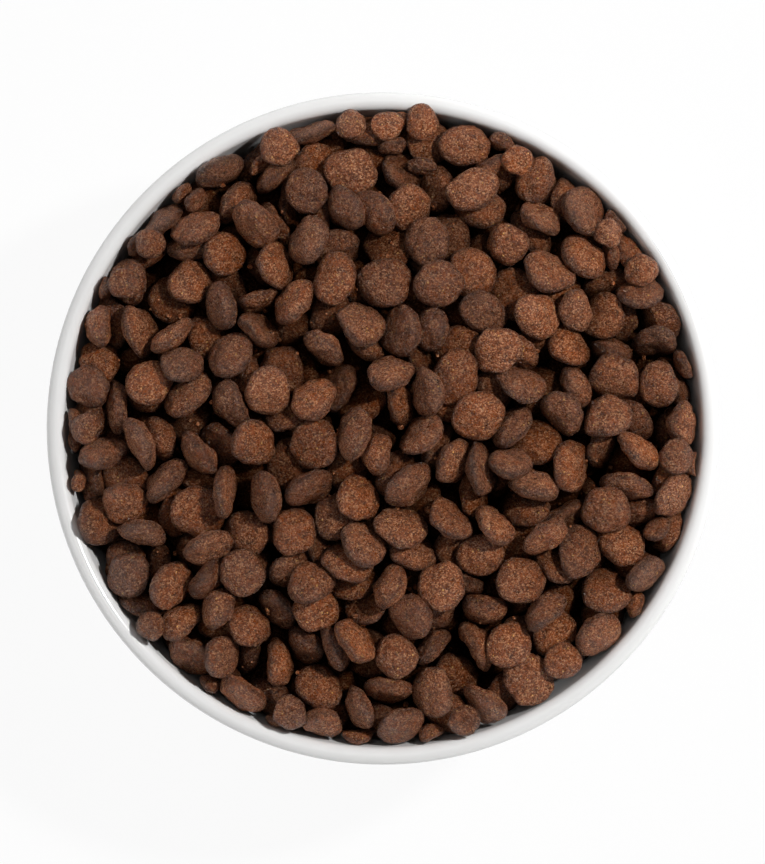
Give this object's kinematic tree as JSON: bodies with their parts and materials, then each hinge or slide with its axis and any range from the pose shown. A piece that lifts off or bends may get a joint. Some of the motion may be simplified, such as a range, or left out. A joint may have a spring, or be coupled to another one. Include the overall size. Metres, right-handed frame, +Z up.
{
  "type": "bowl of dry pet food",
  "caption": "White round glazed bowl with a full-round rim and a foot ring, heaped with brown, lens-shaped dry pet food.",
  "frame": {"origin": "on the bowl's axis, on the surface that its foot ring stands on", "axes": "+Z up along the bowl's axis; +X right and +Y to the top of a picture taken from straight above"},
  "size_m": [0.15, 0.15, 0.0734],
  "materials": {
    "glaze": "glossy white glaze",
    "kibble": null
  },
  "bodies": {
    "root": {"bowl": "glaze", "kibble_bed": "kibble", "kibble_01": "kibble", "kibble_02": "kibble", "kibble_03": "kibble", "kibble_04": "kibble", "kibble_05": "kibble", "kibble_06": "kibble", "kibble_07": "kibble", "kibble_08": "kibble", "kibble_09": "kibble", "kibble_10": "kibble", "kibble_11": "kibble", "kibble_12": "kibble", "kibble_13": "kibble", "kibble_14": "kibble", "kibble_15": "kibble", "kibble_16": "kibble", "kibble_17": "kibble", "kibble_18": "kibble", "kibble_19": "kibble", "kibble_20": "kibble", "kibble_21": "kibble", "kibble_22": "kibble", "kibble_23": "kibble", "kibble_24": "kibble", "kibble_25": "kibble", "kibble_26": "kibble", "kibble_27": "kibble", "kibble_28": "kibble", "kibble_29": "kibble", "kibble_30": "kibble", "kibble_31": "kibble", "kibble_32": "kibble", "kibble_33": "kibble", "kibble_34": "kibble", "kibble_35": "kibble", "kibble_36": "kibble", "kibble_37": "kibble", "kibble_38": "kibble", "kibble_39": "kibble", "kibble_40": "kibble", "kibble_41": "kibble", "kibble_42": "kibble", "kibble_43": "kibble", "kibble_44": "kibble", "kibble_45": "kibble", "kibble_46": "kibble", "kibble_47": "kibble", "kibble_48": "kibble", "kibble_49": "kibble", "kibble_50": "kibble", "kibble_51": "kibble", "kibble_52": "kibble"}
  },
  "joints": []
}
